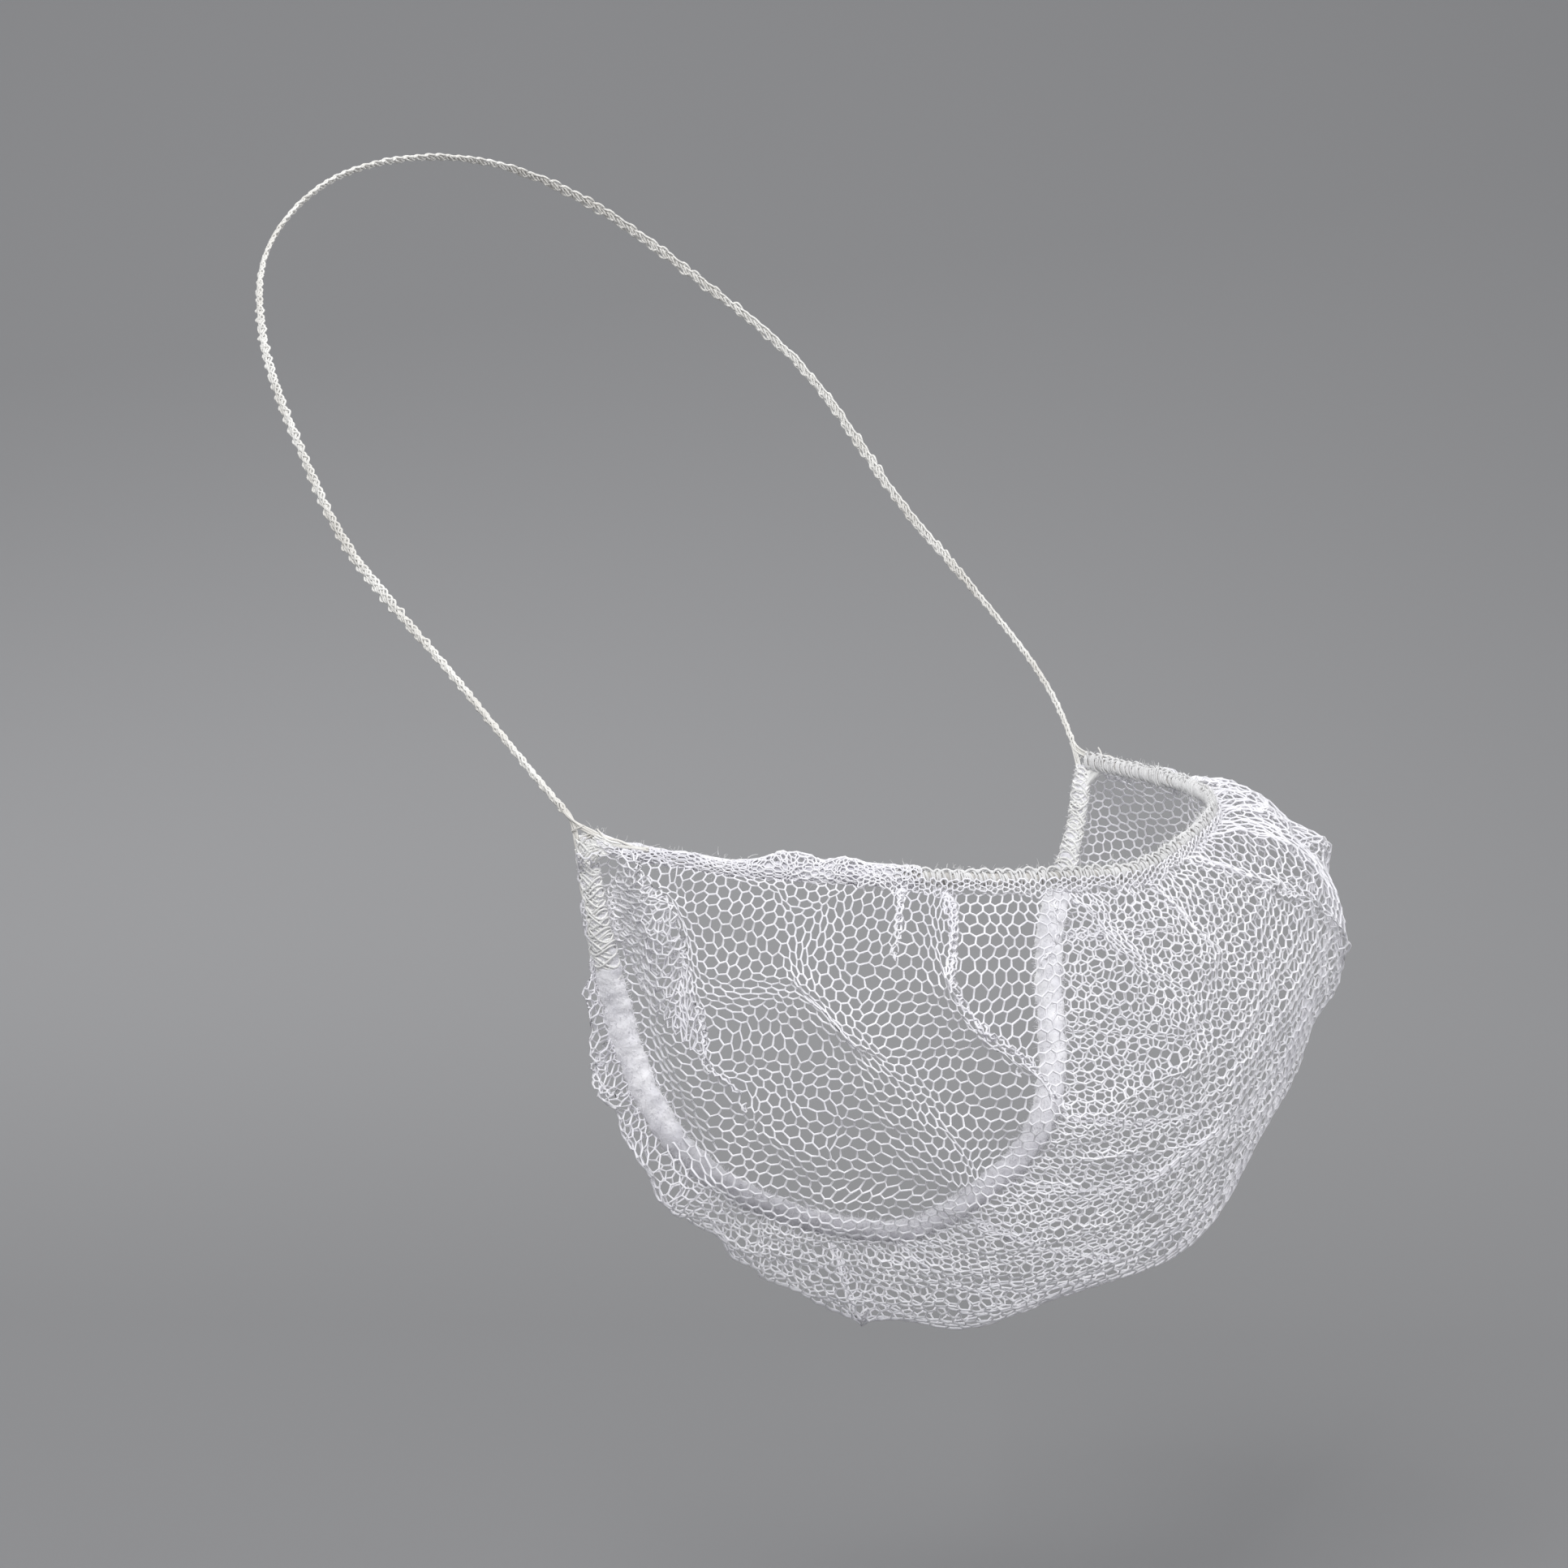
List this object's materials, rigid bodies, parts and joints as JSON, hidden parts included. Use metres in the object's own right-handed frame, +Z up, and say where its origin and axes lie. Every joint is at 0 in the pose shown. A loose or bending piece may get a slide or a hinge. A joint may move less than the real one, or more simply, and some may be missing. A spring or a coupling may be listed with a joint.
{
  "type": "beard cover",
  "caption": "Disposable beard cover in its worn form: a ballooning net pouch with an elastic hem, a soft chin band and a strap over the back of the head.",
  "frame": {"origin": "where the inner side of the strap's middle sits at the back of the crown", "axes": "+X towards the wearer's left, -Y the way the wearer faces, +Z up"},
  "size_m": [0.1574, 0.2048, 0.2117],
  "materials": {
    "net_yarn": "white nylon yarn, slightly translucent",
    "hem_knit": "off-white knitted elastic",
    "band_fuzz": "soft white brushed roll",
    "strap_elastic": "ivory knitted elastic cord"
  },
  "bodies": {
    "root": {"net_pouch": "net_yarn", "top_hem": "hem_knit", "chin_band": "band_fuzz", "head_strap": "strap_elastic", "strap_fan_right": "hem_knit", "strap_fan_left": "hem_knit"}
  },
  "joints": []
}
